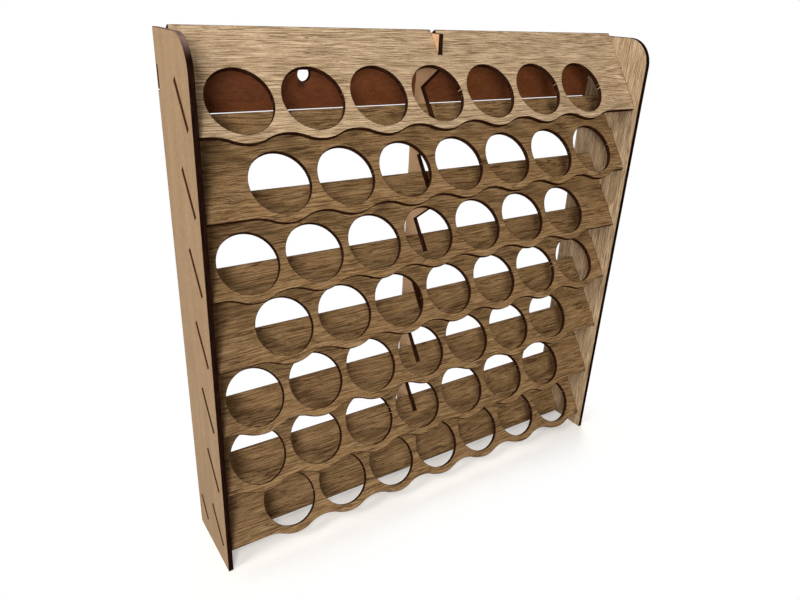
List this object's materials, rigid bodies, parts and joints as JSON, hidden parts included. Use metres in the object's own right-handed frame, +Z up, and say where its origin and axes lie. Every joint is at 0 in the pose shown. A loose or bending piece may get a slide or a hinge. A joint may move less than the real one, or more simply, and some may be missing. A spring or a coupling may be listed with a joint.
{
  "type": "paint rack",
  "caption": "Shallow upright rack of leaning boards with rows of round holes that hold small paint jars, framed by side panels, with keyholes for hanging.",
  "frame": {"origin": "middle of the rack's width and depth, on the surface that it stands on", "axes": "+X to the right seen from the front, the front with the jar holes faces -Y, +Y towards the wall it hangs on, +Z up"},
  "size_m": [0.317, 0.053, 0.3159],
  "materials": {
    "oak_print_board": "3 mm hardboard with a matt oak print on the inner or front face, raw on the other, with dark laser-cut edges",
    "raw_board": "3 mm hardboard with its raw face towards the jars, the oak print on the hidden one and dark laser-cut edges"
  },
  "bodies": {
    "root": {"left_side_panel": "oak_print_board", "right_side_panel": "oak_print_board", "jar_plate_1": "oak_print_board", "jar_plate_2": "oak_print_board", "jar_plate_3": "oak_print_board", "jar_plate_4": "oak_print_board", "jar_plate_5": "oak_print_board", "jar_plate_6": "oak_print_board", "jar_plate_7": "oak_print_board", "centre_divider": "raw_board", "jar_rest_strip": "oak_print_board", "hanging_strip": "raw_board"}
  },
  "joints": []
}
